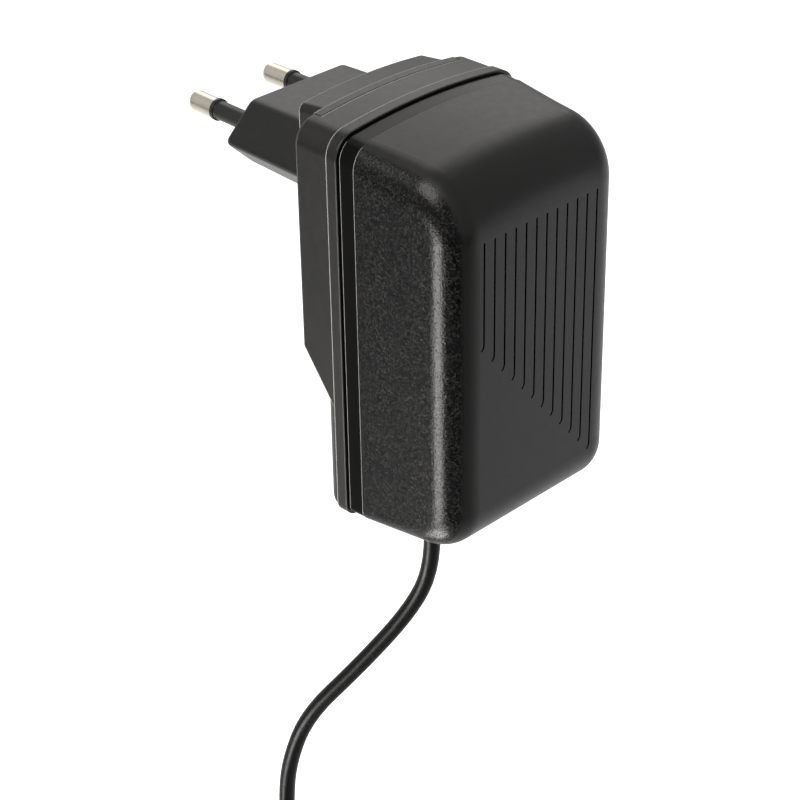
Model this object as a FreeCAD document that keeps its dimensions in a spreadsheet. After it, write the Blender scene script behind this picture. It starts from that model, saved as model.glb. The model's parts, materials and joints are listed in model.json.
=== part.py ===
"""A plug-in wall power supply with a thin USB-C cord, in millimetres.

The origin is the centre of the plug block's engagement face. +Z is up, +Y runs along the contact
pins into the wall socket and X runs across the housing. A reach is a distance in front of that
face, towards -Y. A drop is a distance below the pins, towards -Z.
"""
import FreeCAD, Part
import math
import os
import re
import Sketcher
from FreeCAD import Placement, Rotation, Vector

os.makedirs("parts", exist_ok=True)
doc = FreeCAD.newDocument("usb_c_power_supply")
sheet = doc.addObject("Spreadsheet::Sheet", "Sizes")

SIZES = [
    ("body_width", 44.4, "housing width at the parting line"),
    ("rear_reach", 23.63, "upper back of the rear shell"),
    ("step_depth", 4.68, "lower back of the rear shell, ahead of the upper back"),
    ("rear_depth", 11.04, "rear edge of the front shell, ahead of the upper back"),
    ("front_depth", 27.1, "front face, ahead of the front shell's rear edge"),
    ("crown_height", 13.75, "top of the arch at the parting line"),
    ("base_drop", 64.75, "underside at the parting line"),
    ("arch_radius", 136.4, "radius of the arched top"),
    ("side_draft", 1.84, "draft of the front shell's sides in degrees"),
    ("crown_fall", 5.71, "slope of the front shell's top in degrees"),
    ("base_rise", 2.64, "slope of the front shell's underside in degrees"),
    ("shell_wall", 2.2, "wall of both shells"),
    ("parting_gap", 0.35, "gap between the shells"),
    ("strip_width", 3.5, "smooth strip at the front shell's rear edge"),
    ("strip_inset", 0.28, "depth of that strip below the panel"),
    ("lip_width", 2.5, "lip at the rear shell's front edge"),
    ("lip_height", 0.3, "height of the lip"),
    ("brow_radius", 11.5, "round between top and front face"),
    ("chin_radius", 9.3, "round between front face and underside"),
    ("cheek_radius", 6.2, "round between front face and sides"),
    ("top_corner", 4.5, "upper corners at the parting line"),
    ("bottom_corner", 2.2, "lower corners at the parting line"),
    ("step_top", 31.58, "drop where the back starts to step forward"),
    ("step_foot", 37.8, "drop where the step ends"),
    ("rear_foot_radius", 3.5, "round along the back's lower edge"),
    ("rim_round", 0.5, "round along the back's other edges"),
    ("tongue_length", 2.2, "tongue of the rear shell inside the front shell"),
    ("tongue_clearance", 0.15, "play between tongue and rebate"),
    ("rebate_land", 1.3, "wall left outside the rebate"),
    ("groove_pitch", 2.62, "pitch of the front grooves"),
    ("groove_width", 0.4, "width of a groove"),
    ("groove_depth", 0.5, "depth of a groove"),
    ("groove_top", 0.43, "drop of the grooves' upper ends"),
    ("groove_end", 20.1, "drop of the first groove's lower end"),
    ("groove_step", 3.0, "further drop from groove to groove"),
    ("hook_radius", 1.3, "radius of the hook at a groove's lower end"),
    ("hook_turn", 60.0, "degrees that the hook turns"),
    ("flange_width", 34.9, "width of the plug insert's flange"),
    ("flange_thick", 1.98, "thickness of the flange"),
    ("flange_drop", 13.0, "lower edge of the flange"),
    ("flange_clearance", 0.12, "play between the flange and its slot"),
    ("ledge_width", 31.8, "width of the ledge above the plug block"),
    ("ledge_reach", 18.05, "back of the ledge"),
    ("ledge_crest", 12.97, "height of the ledge's rear rim"),
    ("ledge_corner", 1.5, "corners of the ledge"),
    ("block_width", 37.0, "plug block across its side edges, at its face"),
    ("block_flat", 23.4, "width of the plug block's flat top, at its face"),
    ("block_height", 12.8, "height of the plug block, at its face"),
    ("block_spread", 0.6, "how much wider each side is at the root"),
    ("block_side_round", 1.2, "round of the side edges"),
    ("block_edge_round", 3.0, "round of the other long edges"),
    ("block_rim_round", 0.6, "round of the engagement face's rim"),
    ("pin_spacing", 19.2, "distance of the pin axes at the engagement face"),
    ("pin_lean", 0.75, "inward lean of each pin in degrees"),
    ("pin_length", 19.0, "pin beyond the engagement face"),
    ("pin_radius", 2.0, "bare end of a pin"),
    ("pin_neck", 1.5, "pin inside its sleeve"),
    ("pin_root", 1.8, "pin inside the plug block"),
    ("pin_inside", 4.37, "pin ahead of the upper back, inside the housing"),
    ("pin_play", 0.05, "play round the pin"),
    ("sleeve_length", 12.4, "insulating sleeve"),
    ("sleeve_root", 2.5, "sleeve inside the plug block"),
    ("sleeve_radius", 1.84, "outside of the sleeve"),
    ("collar_radius", 2.16, "collar at the sleeve's outer end"),
    ("collar_length", 0.9, "length of the collar"),
    ("board_side", 1.5, "room between the board and the shells' sides"),
    ("board_top", 5.0, "upper edge of the board"),
    ("board_foot", 2.25, "room between the board and the underside's wall"),
    ("board_thick", 1.6, "thickness of the board"),
    ("board_gap", 0.49, "room between the board and the lower back's wall"),
    ("post_radius", 2.5, "posts that carry the board"),
    ("post_offset", 14.5, "posts from the middle"),
    ("post_high", 2.0, "height of the upper posts"),
    ("post_low", 54.0, "drop of the lower posts"),
    ("rib_thick", 1.2, "ribs that hold the board against its posts"),
    ("rib_width", 2.35, "how far those ribs reach inwards"),
    ("rib_length", 15.3, "those ribs ahead of the front shell's rear edge"),
    ("seat_play", 0.1, "play between pieces that rest on each other"),
    ("relief_length", 15.0, "strain relief below the housing"),
    ("relief_radius", 3.5, "strain relief at the housing"),
    ("relief_tip", 2.3, "strain relief at its tip"),
    ("relief_flange", 3.9, "radius of the flange inside the housing"),
    ("flange_high", 1.3, "height of that flange"),
    ("cord_radius", 1.7, "radius of the cord"),
    ("coil_mean", 18.5, "mean radius of the coil's turns"),
    ("coil_deep", 13.8, "coil's bundle across its turns"),
    ("coil_wide", 14.2, "coil's bundle along its axis"),
    ("coil_tail", 17.0, "straight end between coil and plug"),
    ("tie_band", 6.0, "width of the tie"),
    ("tie_thick", 1.0, "thickness of the tie"),
    ("plug_width", 11.0, "USB-C overmould across"),
    ("plug_thick", 6.3, "USB-C overmould through"),
    ("plug_neck", 5.0, "tapered neck of the overmould"),
    ("plug_body", 16.0, "straight part of the overmould"),
    ("usb_width", 8.34, "USB-C shell across"),
    ("usb_thick", 2.56, "USB-C shell through"),
    ("usb_length", 6.65, "USB-C shell beyond the overmould"),
    ("usb_wall", 0.3, "wall of the USB-C shell"),
]
GROOVES = 12

# Measures worked out from the cells. One that builds on another stands before it. A column, a
# line and a rise are the board's layout steps across, down and off the board, near 1 mm each.
DERIVED = {
    "board_column": "(board_half / 18.5)",
    "board_line": "(board_drop / 60.3)",
    "board_rise": "(front_depth / 27.1)",
    "parting_reach": "(rear_reach + rear_depth)",
    "front_reach": "(rear_reach + rear_depth + front_depth)",
    "pin_tail": "(rear_reach + pin_inside)",
    "board_reach": "(low_reach + shell_wall + board_gap + board_thick)",
    "low_reach": "(rear_reach + step_depth)",
    "board_half": "(body_width / 2 - shell_wall - board_side)",
    "board_drop": "(base_drop - shell_wall - board_foot)",
}

for row, (alias, value, meaning) in enumerate(SIZES, start=1):
    sheet.set(f"A{row}", meaning)
    sheet.set(f"B{row}", str(value))
    sheet.setAlias(f"B{row}", alias)
doc.recompute()


def spelled_out(text):
    """An expression with each derived measure written in cells of the sheet."""
    text = str(text)
    for name, meaning in DERIVED.items():
        text = re.sub(rf"\b{name}\b", meaning, text)
    return text


def bound(text):
    """An expression in which each alias is read from the sheet."""
    return re.sub(r"\b([a-z]+_[a-z_]+)\b", r"Sizes.\1", spelled_out(text))


def worked_out(text):
    """The present value of an expression."""
    return float(sheet.evalExpression(spelled_out(text)))


def bind(item, **values):
    """Ties properties to the sheet. A double underscore in a name stands for a dot."""
    for name, text in values.items():
        item.setExpression(name.replace("__", "."), bound(text))
    return item


def put(item, x=0, y=0, z=0):
    """Places an object by three bound expressions."""
    return bind(item, Placement__Base__x=x, Placement__Base__y=y, Placement__Base__z=z)


def box(name, x, y, z):
    """A box between two bounds on each axis, each bound an expression."""
    item = doc.addObject("Part::Box", name)
    spans = [f"({high}) - ({low})" for low, high in (x, y, z)]
    bind(item, Length=spans[0], Width=spans[1], Height=spans[2])
    return put(item, x[0], y[0], z[0])


TURNS = {
    "Y": Rotation(Vector(1, 0, 0), -90),
    "Z": Rotation(),
}


def rod(name, axis, radius, length, x=0, y=0, z=0):
    """A cylinder that runs along +axis from a place."""
    item = doc.addObject("Part::Cylinder", name)
    item.Placement = Placement(Vector(), TURNS[axis])
    bind(item, Radius=radius, Height=length)
    return put(item, x, y, z)


def cone(name, axis, first, last, length, x=0, y=0, z=0):
    """A cone that runs along +axis, from the first radius to the last."""
    item = doc.addObject("Part::Cone", name)
    item.Placement = Placement(Vector(), TURNS[axis])
    bind(item, Radius1=first, Radius2=last, Height=length)
    return put(item, x, y, z)


def cut(name, base, tool):
    """One solid less another."""
    item = doc.addObject("Part::Cut", name)
    item.Base = base
    item.Tool = tool
    return item


def common(name, base, tool):
    """What two solids share."""
    item = doc.addObject("Part::Common", name)
    item.Base = base
    item.Tool = tool
    return item


def fuse(name, *items):
    """Several solids as one."""
    item = doc.addObject("Part::MultiFuse", name)
    item.Shapes = list(items)
    return item


def edges_of(shape, wanted):
    """The numbers of the edges whose bounding box passes a test."""
    return [i for i, edge in enumerate(shape.Edges, start=1) if wanted(edge.BoundBox)]


def rounded(name, base, radius, wanted):
    """Rounds the wanted edges of a solid by one radius from the sheet."""
    doc.recompute()
    item = doc.addObject("Part::Fillet", name)
    item.Base = base
    item.Edges = [(i, radius, radius) for i in edges_of(base.Shape, wanted)]
    return item


def sketch_on(body, name, role, offset=0):
    """An empty sketch on one of a body's own origin planes, moved along the plane's normal."""
    plane = next(item for item in body.Origin.OriginFeatures if item.Role == role)
    sketch = body.newObject("Sketcher::SketchObject", name)
    sketch.AttachmentSupport = [(plane, "")]
    sketch.MapMode = "FlatFace"
    return bind(sketch, AttachmentOffset__Base__z=offset)


def anchor(sketch, tag, geometry, point, place):
    """Ties one point of a sketch to two bound coordinates."""
    for axis, text in zip("XY", place):
        number = sketch.addConstraint(
            Sketcher.Constraint("Distance" + axis, -1, 1, geometry, point, worked_out(text))
        )
        sketch.renameConstraint(number, f"{tag}{axis}")
        bind(sketch, **{f"Constraints__{tag}{axis}": text})


def outline(sketch, corners, arc_at=None, arc_radius=None):
    """Closes a line round the corners. The side after corner arc_at may bulge as an arc."""
    guess = [Vector(worked_out(x), worked_out(y), 0) for x, y in corners]
    count = len(corners)
    for i in range(count):
        start, end = guess[i], guess[(i + 1) % count]
        if i == arc_at:
            radius = worked_out(arc_radius)
            chord = end - start
            middle = (start + end) * 0.5
            normal = Vector(chord.y, -chord.x, 0).normalize()
            rise = radius - math.sqrt(radius ** 2 - (chord.Length / 2) ** 2)
            sketch.addGeometry(Part.Arc(start, middle + normal * rise, end))
        else:
            sketch.addGeometry(Part.LineSegment(start, end))
    ends = []
    for i in range(count):
        turned = i == arc_at
        ends.append((2, 1) if turned and clockwise(guess) else (1, 2))
    for i in range(count):
        after = (i + 1) % count
        sketch.addConstraint(
            Sketcher.Constraint("Coincident", i, ends[i][1], after, ends[after][0])
        )
    for i, place in enumerate(corners):
        anchor(sketch, f"corner{i}", i, ends[i][0], place)
    if arc_at is not None:
        number = sketch.addConstraint(
            Sketcher.Constraint("Radius", arc_at, sketch.Geometry[arc_at].Radius)
        )
        sketch.renameConstraint(number, "arch")
        bind(sketch, Constraints__arch=arc_radius)
    return sketch


def clockwise(points):
    """Whether the corners run clockwise."""
    pairs = zip(points, points[1:] + points[:1])
    return sum(a.x * b.y - b.x * a.y for a, b in pairs) < 0


def arched_section(body, name, reach, half, crest, base, radius="arch_radius"):
    """A section across X at one reach: straight sides, flat base and an arched top."""
    shoulder = f"({crest}) - ({radius}) + sqrt(pow({radius}; 2) - pow({half}; 2))"
    corners = [
        (f"-({half})", base),
        (half, base),
        (half, shoulder),
        (f"-({half})", shoulder),
    ]
    return outline(sketch_on(body, name, "XZ_Plane", reach), corners, 2, radius)


def loft(body, name, first, last):
    """A ruled loft between two sections."""
    item = body.newObject("PartDesign::AdditiveLoft", name)
    item.Profile = first
    item.Sections = [last]
    item.Ruled = True
    body.Tip = item
    return body


def shell_block(name, inset, rear, front):
    """The front shell's drafted block, moved inwards by an inset, between two reaches."""
    body = doc.addObject("PartDesign::Body", name)
    sections = []
    for tag, reach in (("rear", rear), ("front", front)):
        ahead = f"(({reach}) - parting_reach)"
        sections.append(
            arched_section(
                body,
                f"{name}_{tag}",
                reach,
                f"body_width / 2 - {ahead} * tan(side_draft) - ({inset})",
                f"crown_height - {ahead} * tan(crown_fall) - ({inset})",
                f"-(base_drop - {ahead} * tan(base_rise) - ({inset}))",
                f"arch_radius - ({inset})",
            )
        )
    return loft(body, f"{name}_loft", *sections)


def rear_block(name, inset, rear, front):
    """The rear shell's straight block, moved inwards by an inset, between two reaches."""
    body = doc.addObject("PartDesign::Body", name)
    sections = [
        arched_section(
            body,
            f"{name}_{tag}",
            reach,
            f"body_width / 2 - ({inset})",
            f"crown_height - ({inset})",
            f"-(base_drop - ({inset}))",
            f"arch_radius - ({inset})",
        )
        for tag, reach in (("rear", rear), ("front", front))
    ]
    return loft(body, f"{name}_loft", *sections)


def long_edges(name, base, inset):
    """Rounds a block's four long edges by the housing's corners less an inset."""
    doc.recompute()
    top = max(worked_out("top_corner") - inset, worked_out("rim_round"))
    bottom = max(worked_out("bottom_corner") - inset, worked_out("rim_round"))
    middle = (worked_out("crown_height") - worked_out("base_drop")) / 2
    shape = base.Shape
    along = edges_of(shape, lambda b: b.YLength > 0.9 * shape.BoundBox.YLength)
    item = doc.addObject("Part::Fillet", name)
    item.Base = base
    item.Edges = [
        (i, top, top) if shape.Edges[i - 1].BoundBox.Center.z > middle else (i, bottom, bottom)
        for i in along
    ]
    return item


def front_form(name, inset, rear):
    """The front shell's block with its brow, chin and cheeks rounded."""
    step = worked_out(inset)
    block = shell_block(f"{name}_block", inset, rear, f"front_reach - ({inset})")
    doc.recompute()
    face = -worked_out("front_reach") + step
    level = (worked_out("crown_height") - worked_out("base_drop")) / 2

    def on_face(b):
        return abs(b.YMin - face) < 1e-4 and abs(b.YMax - face) < 1e-4

    brow = rounded(
        f"{name}_brow",
        block,
        worked_out("brow_radius") - step,
        lambda b: on_face(b) and b.XLength > 20 and b.Center.z > level,
    )
    chin = rounded(
        f"{name}_chin",
        brow,
        worked_out("chin_radius") - step,
        lambda b: on_face(b) and b.XLength > 20 and b.Center.z < level,
    )
    doc.recompute()
    back = -worked_out(rear)
    half = worked_out("body_width") / 2
    edges = chin.Shape.Edges
    chain = edges_of(
        chin.Shape,
        lambda b: b.XLength < 3
        and abs(b.Center.x) > 0.8 * half
        and not (abs(b.YMin - back) < 1e-4 and abs(b.YMax - back) < 1e-4),
    )

    def along(point):
        turn = math.atan2(point.z - level, (back + face) / 2 - point.y)
        return (point.x > 0, -turn if point.x > 0 else turn)

    chain.sort(key=lambda i: along(edges[i - 1].CenterOfMass))
    cheek = worked_out("cheek_radius") - step
    top = cheek if step else worked_out("top_corner")
    bottom = cheek if step else worked_out("bottom_corner")
    brow_start = face + worked_out("brow_radius") - step
    depth = back - face

    def radius_at(point):
        if point.z > level and point.y > brow_start - 0.5:
            share = (back - point.y) / (back - brow_start)
            return top + (cheek - top) * min(1, share)
        if point.y > face + 0.5 and point.z < level:
            share = min(1, (point.y - face) / depth)
            return cheek + (bottom - cheek) * share
        return cheek

    item = doc.addObject("Part::Fillet", name)
    item.Base = chin
    rounds = []
    for i in chain:
        first, last = sorted((corner.Point for corner in edges[i - 1].Vertexes), key=along)
        rounds.append((i, radius_at(first), radius_at(last)))
    item.Edges = rounds
    return item


def groove(number):
    """One front groove: a straight slot and a hook that curls down to the left."""
    middle = f"({number} - {(GROOVES - 1) / 2}) * groove_pitch"
    end = f"-(groove_end + {number} * groove_step)"
    deep = ("-(front_reach + 1)", "-(front_reach - groove_depth)")
    name = f"groove_{number}"
    slot = box(
        f"{name}_slot",
        (f"{middle} - groove_width / 2", f"{middle} + groove_width / 2"),
        deep,
        (end, "-groove_top"),
    )
    rings = []
    for tag, side in (("outer", "+"), ("inner", "-")):
        ring = rod(
            f"{name}_{tag}",
            "Y",
            f"hook_radius {side} groove_width / 2",
            "groove_depth + 1",
            f"{middle} - hook_radius",
            "-(front_reach + 1)",
            end,
        )
        bind(ring, Angle="hook_turn")
        rings.append(ring)
    return [slot, cut(f"{name}_hook", *rings)]


def make_front_shell():
    """The deep front half of the housing."""
    outer = front_form("front_outer", "0", "parting_reach")
    void = front_form("front_void", "shell_wall", "parting_reach - 1")
    strip_tool = cut(
        "strip_tool",
        box(
            "strip_box",
            ("-body_width", "body_width"),
            ("-(parting_reach + strip_width)", "-(parting_reach - 2)"),
            ("-(base_drop + 9)", "crown_height + 9"),
        ),
        long_edges(
            "strip_core",
            shell_block(
                "strip_block",
                "strip_inset",
                "parting_reach - 3",
                "parting_reach + strip_width + 1",
            ),
            worked_out("strip_inset"),
        ),
    )
    rebate = long_edges(
        "rebate",
        rear_block(
            "rebate_block",
            "rebate_land",
            "parting_reach - 1",
            "parting_reach + tongue_length + seat_play",
        ),
        worked_out("rebate_land"),
    )
    grooves = [piece for number in range(GROOVES) for piece in groove(number)]
    body = cut("front_stripped", outer, strip_tool)
    body = cut("front_hollow", body, void)
    body = cut("front_rebated", body, rebate)
    body = fuse("front_ribbed", body, *board_ribs())
    body = cut("front_grooved", body, fuse("front_grooves", *grooves))
    return cut("front_shell", body, relief_bore("front_relief_bore"))


def board_ribs():
    """Four ribs on the front shell's sides that press the board onto its posts."""
    ribs = []
    levels = {"upper": "-(post_high + post_radius * 4)", "lower": "-(post_low - post_radius * 2)"}
    edge = "body_width / 2 - shell_wall - tongue_clearance - seat_play"
    for tag, level in levels.items():
        for side, span in (
            ("left", (f"-({edge})", f"-({edge} - rib_width)")),
            ("right", (f"{edge} - rib_width", edge)),
        ):
            ribs.append(
                box(
                    f"rib_{tag}_{side}",
                    span,
                    ("-(parting_reach + rib_length)", "-(board_reach + seat_play)"),
                    (f"{level} - rib_thick / 2", f"{level} + rib_thick / 2"),
                )
            )
    return ribs


def relief_bore(name):
    """The round notch in the underside that both shells share."""
    return rod(
        name,
        "Z",
        "relief_radius + seat_play",
        "shell_wall * 3",
        0,
        "-(parting_reach - parting_gap / 2)",
        "-(base_drop + shell_wall)",
    )


def make_rear_shell():
    """The shallow rear half: stepped back, lip, tongue, board posts and the insert's slot."""
    front = "parting_reach - parting_gap"
    outer = long_edges("rear_outer", rear_block("rear_outer_block", "0", "rear_reach", front), 0)
    doc.recompute()
    back = -worked_out("rear_reach")
    outer = rounded(
        "rear_rim",
        outer,
        worked_out("rim_round"),
        lambda b: abs(b.YMin - back) < 1e-4 and abs(b.YMax - back) < 1e-4,
    )
    stepped = cut("rear_stepped", outer, step_prism("rear_step", "0"))
    doc.recompute()
    low = -worked_out("low_reach")
    foot = -worked_out("base_drop")
    stepped = rounded(
        "rear_foot",
        stepped,
        worked_out("rear_foot_radius"),
        lambda b: abs(b.Center.y - low) < 0.1 and abs(b.Center.z - foot) < 0.1 and b.XLength > 9,
    )
    lip = long_edges(
        "lip",
        rear_block("lip_block", "-lip_height", f"{front} - lip_width", front),
        -worked_out("lip_height"),
    )
    void = long_edges(
        "rear_void",
        rear_block(
            "rear_void_block",
            "shell_wall",
            "rear_reach + flange_thick + shell_wall / 2",
            f"{front} + 1",
        ),
        worked_out("shell_wall"),
    )
    void = cut("rear_void_stepped", void, step_prism("rear_step_inner", "shell_wall"))
    tongue_outer = long_edges(
        "tongue_outer",
        rear_block(
            "tongue_outer_block",
            "rebate_land + tongue_clearance",
            f"{front} - lip_width / 2",
            "parting_reach + tongue_length",
        ),
        worked_out("rebate_land") + worked_out("tongue_clearance"),
    )
    body = fuse("rear_with_tongue", stepped, lip, tongue_outer)
    tongue_void = long_edges(
        "tongue_void",
        rear_block(
            "tongue_void_block", "shell_wall", front, "parting_reach + tongue_length + 1"
        ),
        worked_out("shell_wall"),
    )
    body = cut("rear_hollow", body, fuse("rear_voids", void, tongue_void))
    body = fuse("rear_posted", body, *board_posts())
    slot = insert_plate("insert_slot", "flange_clearance", "crown_height + 9")
    body = cut("rear_slotted", body, slot)
    body = cut("rear_drilled", body, fuse("tail_holes", tail_hole("left"), tail_hole("right")))
    return cut("rear_shell", body, relief_bore("rear_relief_bore"))


def step_prism(name, inset):
    """What the step takes from the rear shell's back, seen from the side."""
    body = doc.addObject("PartDesign::Body", name)
    far = "rear_reach - 9"
    corners = [
        (f"-({far})", f"-(step_top - ({inset}) / 2)"),
        (f"-(rear_reach + ({inset}))", f"-(step_top - ({inset}) / 2)"),
        (f"-(low_reach + ({inset}))", f"-(step_foot - ({inset}) / 2)"),
        (f"-(low_reach + ({inset}))", "-(base_drop + 9)"),
        (f"-({far})", "-(base_drop + 9)"),
    ]
    sketch = outline(sketch_on(body, f"{name}_side", "YZ_Plane"), corners)
    pad = body.newObject("PartDesign::Pad", f"{name}_pad")
    pad.Profile = sketch
    pad.Midplane = True
    bind(pad, Length="body_width * 2")
    body.Tip = pad
    return body


def board_posts():
    """Four posts from the rear shell's wall to the board."""
    posts = []
    levels = {"upper": "post_high", "lower": "-post_low"}
    starts = {"upper": "rear_reach + flange_thick", "lower": "low_reach"}
    for tag, level in levels.items():
        for side, sign in (("left", "-"), ("right", "")):
            start = f"({starts[tag]} + seat_play * 5)"
            length = f"board_reach - board_thick - {start}"
            posts.append(
                rod(
                    f"post_{tag}_{side}",
                    "Y",
                    "post_radius",
                    length,
                    f"{sign}post_offset",
                    "-(board_reach - board_thick)",
                    level,
                )
            )
    return posts


def insert_plate(name, play, top):
    """The insert's flange, or the slot that takes it."""
    return box(
        name,
        (f"-(flange_width / 2 + ({play}))", f"flange_width / 2 + ({play})"),
        (f"-(rear_reach + flange_thick + ({play}))", f"-(rear_reach - ({play}) * 9)"),
        (f"-(flange_drop + ({play}))", top),
    )


def tail_hole(side):
    """Where a pin's inner end passes through the rear shell."""
    sign = "-" if side == "left" else ""
    return rod(
        f"tail_hole_{side}",
        "Y",
        "pin_root + pin_play * 12",
        "flange_thick + shell_wall * 2",
        f"{sign}pin_spacing / 2",
        "-(rear_reach + flange_thick + shell_wall * 2)",
    )


def hexagon(body, name, reach, spread):
    """The plug block's section at one reach."""
    side = f"block_width / 2 + ({spread})"
    flat = f"block_flat / 2 + ({spread})"
    high = f"block_height / 2 + ({spread})"
    corners = [
        (f"-({side})", "0"),
        (f"-({flat})", f"-({high})"),
        (flat, f"-({high})"),
        (side, "0"),
        (flat, high),
        (f"-({flat})", high),
    ]
    return outline(sketch_on(body, name, "XZ_Plane", reach), corners)


def make_plug_insert():
    """Flange, ledge and plug block, moulded as one piece round the pins."""
    ledge_body = doc.addObject("PartDesign::Body", "ledge_block")
    ledge_sections = [
        arched_section(
            ledge_body,
            f"ledge_{tag}",
            reach,
            "ledge_width / 2",
            crest,
            "-flange_drop / 3",
        )
        for tag, reach, crest in (
            ("rear", "ledge_reach", "ledge_crest"),
            ("front", "rear_reach + flange_thick / 2", "crown_height"),
        )
    ]
    ledge = loft(ledge_body, "ledge_loft", *ledge_sections)
    doc.recompute()
    ledge_half = worked_out("ledge_width") / 2
    ledge = rounded(
        "ledge",
        ledge,
        worked_out("ledge_corner"),
        lambda b: b.YLength > 2 and abs(abs(b.Center.x) - ledge_half) < 0.1 and b.Center.z > 5,
    )
    crown = rod(
        "insert_crown",
        "Y",
        "arch_radius",
        "flange_thick * 3",
        0,
        "-(rear_reach + flange_thick * 2)",
        "crown_height - arch_radius",
    )
    flange = common("flange", insert_plate("flange_plate", "0", "crown_height + 9"), crown)
    block_body = doc.addObject("PartDesign::Body", "plug_block")
    block = loft(
        block_body,
        "plug_block_loft",
        hexagon(block_body, "block_face", "0", "0"),
        hexagon(block_body, "block_root", "rear_reach - seat_play", "block_spread"),
    )
    doc.recompute()
    side_x = worked_out("block_width") / 2
    block = rounded(
        "block_sides",
        block,
        worked_out("block_side_round"),
        lambda b: b.YLength > 9 and abs(b.Center.x) > side_x - 1,
    )
    block = rounded(
        "block_edges",
        block,
        worked_out("block_edge_round"),
        lambda b: b.YLength > 9 and abs(b.Center.z) > worked_out("block_height") / 2 - 1,
    )
    block = rounded(
        "block_rim",
        block,
        worked_out("block_rim_round"),
        lambda b: abs(b.YMin) < 1e-4 and abs(b.YMax) < 1e-4,
    )
    body = fuse("insert_solid", flange, ledge, block)
    bores = fuse("pin_bores", pin_body("left", "pin_play"), pin_body("right", "pin_play"))
    return cut("plug_insert", body, bores)


def pin_body(side, play):
    """A turned contact pin, or the room for it and its sleeve. Its tip is domed."""
    grown = play != "0"
    name = f"pin_room_{side}" if grown else f"contact_pin_{side}"
    body = doc.addObject("PartDesign::Body", name)
    neck = f"sleeve_radius + ({play})" if grown else "pin_neck"
    root = f"pin_root + ({play})"
    end = f"pin_radius + ({play})"
    dome = "pin_radius / 2"
    corners = [
        ("0", "-pin_tail"),
        (root, "-pin_tail"),
        (root, "-sleeve_root"),
        (neck, "-sleeve_root"),
        (neck, "sleeve_length"),
        (end, "sleeve_length"),
        (end, f"pin_length - {dome}"),
        (f"({end}) - {dome}", "pin_length"),
        ("0", "pin_length"),
    ]
    return leaning(body, side, outline(sketch_on(body, f"{name}_half", "XY_Plane"), corners, 6, dome))


def leaning(body, side, sketch):
    """Turns a half section about its own axis and sets it at one pin's place and lean."""
    turned = body.newObject("PartDesign::Revolution", f"{body.Name}_turned")
    turned.Profile = sketch
    turned.ReferenceAxis = (sketch, ["V_Axis"])
    turned.Angle = 360
    body.Tip = turned
    sign = -1 if side == "left" else 1
    put(body, f"{sign} * pin_spacing / 2")
    body.Placement.Rotation = Rotation(Vector(0, 0, 1), sign * worked_out("pin_lean"))
    return body


def make_sleeve(side):
    """The insulating sleeve round a pin's neck, with a small collar at its outer end."""
    name = f"pin_sleeve_{side}"
    body = doc.addObject("PartDesign::Body", name)
    corners = [
        ("pin_neck + pin_play", "-(sleeve_root - pin_play)"),
        ("sleeve_radius", "-(sleeve_root - pin_play)"),
        ("sleeve_radius", "sleeve_length - collar_length"),
        ("collar_radius", "sleeve_length - collar_length * 0.8"),
        ("collar_radius", "sleeve_length - pin_play"),
        ("pin_neck + pin_play", "sleeve_length - pin_play"),
    ]
    return leaning(body, side, outline(sketch_on(body, f"{name}_half", "XY_Plane"), corners))


def make_contact_spring(side):
    """A bent strip from the board's back to the pin's inner end."""
    sign = "-" if side == "left" else ""
    name = f"contact_spring_{side}"
    middle = f"({sign}pin_spacing / 2)"
    board_back = "-(board_reach - board_thick)"
    thick = "0.5"
    width = "2.2"
    foot = box(
        f"{name}_foot",
        (f"{middle} - {width}", f"{middle} + {width}"),
        (board_back, f"{board_back} + {thick}"),
        (f"-3 * {width}", f"-1.2 * {width}"),
    )
    leg = box(
        f"{name}_leg",
        (f"{middle} - {width}", f"{middle} + {width}"),
        (board_back, "-(pin_tail + pin_play)"),
        (f"-1.2 * {width} - {thick}", f"-1.2 * {width}"),
    )
    tongue = box(
        f"{name}_tongue",
        (f"{middle} - {width}", f"{middle} + {width}"),
        (f"-(pin_tail + pin_play + {thick})", "-(pin_tail + pin_play)"),
        (f"-1.2 * {width} - {thick}", "pin_root"),
    )
    return fuse(name, foot, leg, tongue)


def on_board(name, x, rise, z):
    """A box on the board, between bounds in layout steps across, off and along the board."""
    return box(
        name,
        [f"{bound_at} * board_column" for bound_at in x],
        [f"-(board_reach + {bound_at} * board_rise)" for bound_at in reversed(rise)],
        [f"{bound_at} * board_line" for bound_at in z],
    )


def block_part(name, x, z, wide, high, deep):
    """A boxed component on the board, rounded along the edges that stand off it."""
    item = on_board(
        f"{name}_block", (x - wide / 2, x + wide / 2), (0, deep), (z - high / 2, z + high / 2)
    )
    tall = worked_out(f"{deep} * board_rise")
    return rounded(name, item, min(0.4, high / 4), lambda b: b.YLength > 0.9 * tall)


def can_part(name, x, z, radius, deep):
    """A round component that stands on the board, with a rounded outer rim."""
    top = f"-(board_reach + {deep} * board_rise)"
    item = rod(
        f"{name}_can",
        "Y",
        f"{radius} * min(board_column; board_line)",
        f"{deep} * board_rise",
        f"{x} * board_column",
        top,
        f"{z} * board_line",
    )
    level = worked_out(top)
    return rounded(name, item, 0.6, lambda b: b.YLength < 0.01 and abs(b.Center.y - level) < 0.01)


def make_board():
    """The circuit board."""
    return box(
        "main_board",
        ("-board_half", "board_half"),
        ("-board_reach", "-(board_reach - board_thick)"),
        ("-board_drop", "board_top"),
    )


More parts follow.
